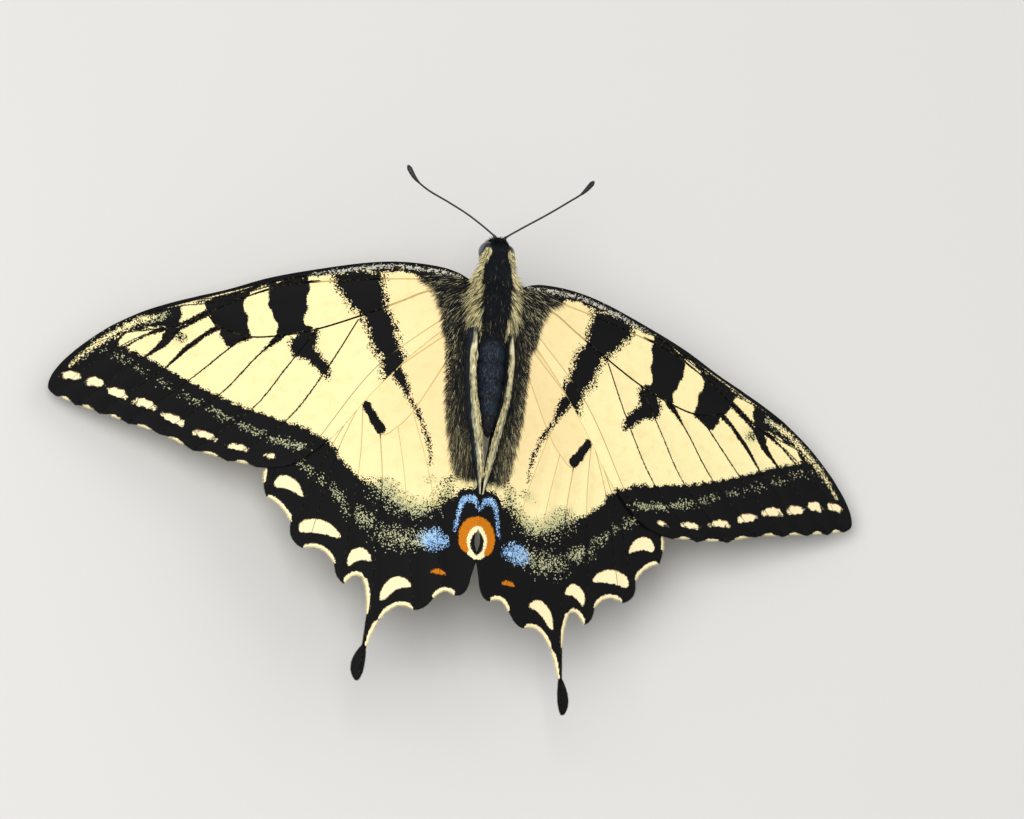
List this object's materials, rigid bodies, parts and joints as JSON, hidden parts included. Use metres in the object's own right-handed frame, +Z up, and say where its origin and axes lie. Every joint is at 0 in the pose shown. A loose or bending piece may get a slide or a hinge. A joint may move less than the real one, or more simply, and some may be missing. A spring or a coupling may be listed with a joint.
{
  "type": "tiger swallowtail butterfly",
  "caption": "Life-size still tiger swallowtail with drooping spread wings, striped yellow and black, tailed hindwings, standing on its feet.",
  "frame": {"origin": "on the floor under the middle of the figure's outline seen from above", "axes": "+Y towards the head, +X to the butterfly's right across the spread wings, +Z up"},
  "size_m": [0.0798, 0.0518, 0.0139],
  "materials": {
    "coat": "black hairy coat with cream-yellow side stripes",
    "abdomen": "short blue-black scales with pale side lines",
    "wing": "powdery scales, butter yellow with black stripes and borders",
    "eye": "glossy blue-black facets",
    "horn": "dark satin horn",
    "leg": "dark horn with short scales"
  },
  "bodies": {
    "root": {"head": "coat", "neck": "coat", "thorax": "coat", "abdomen": "abdomen", "proboscis": "horn", "eye_left": "eye", "palp_left": "coat", "antenna_left": "horn", "forewing_left": "wing", "hindwing_left": "wing", "hindwing_fold_left": "wing", "foreleg_femur_left": "leg", "foreleg_tibia_left": "leg", "foreleg_tarsus_left": "leg", "midleg_femur_left": "leg", "midleg_tibia_left": "leg", "midleg_tarsus_left": "leg", "hindleg_femur_left": "leg", "hindleg_tibia_left": "leg", "hindleg_tarsus_left": "leg", "eye_right": "eye", "palp_right": "coat", "antenna_right": "horn", "forewing_right": "wing", "hindwing_right": "wing", "hindwing_fold_right": "wing", "foreleg_femur_right": "leg", "foreleg_tibia_right": "leg", "foreleg_tarsus_right": "leg", "midleg_femur_right": "leg", "midleg_tibia_right": "leg", "midleg_tarsus_right": "leg", "hindleg_femur_right": "leg", "hindleg_tibia_right": "leg", "hindleg_tarsus_right": "leg"}
  },
  "joints": []
}
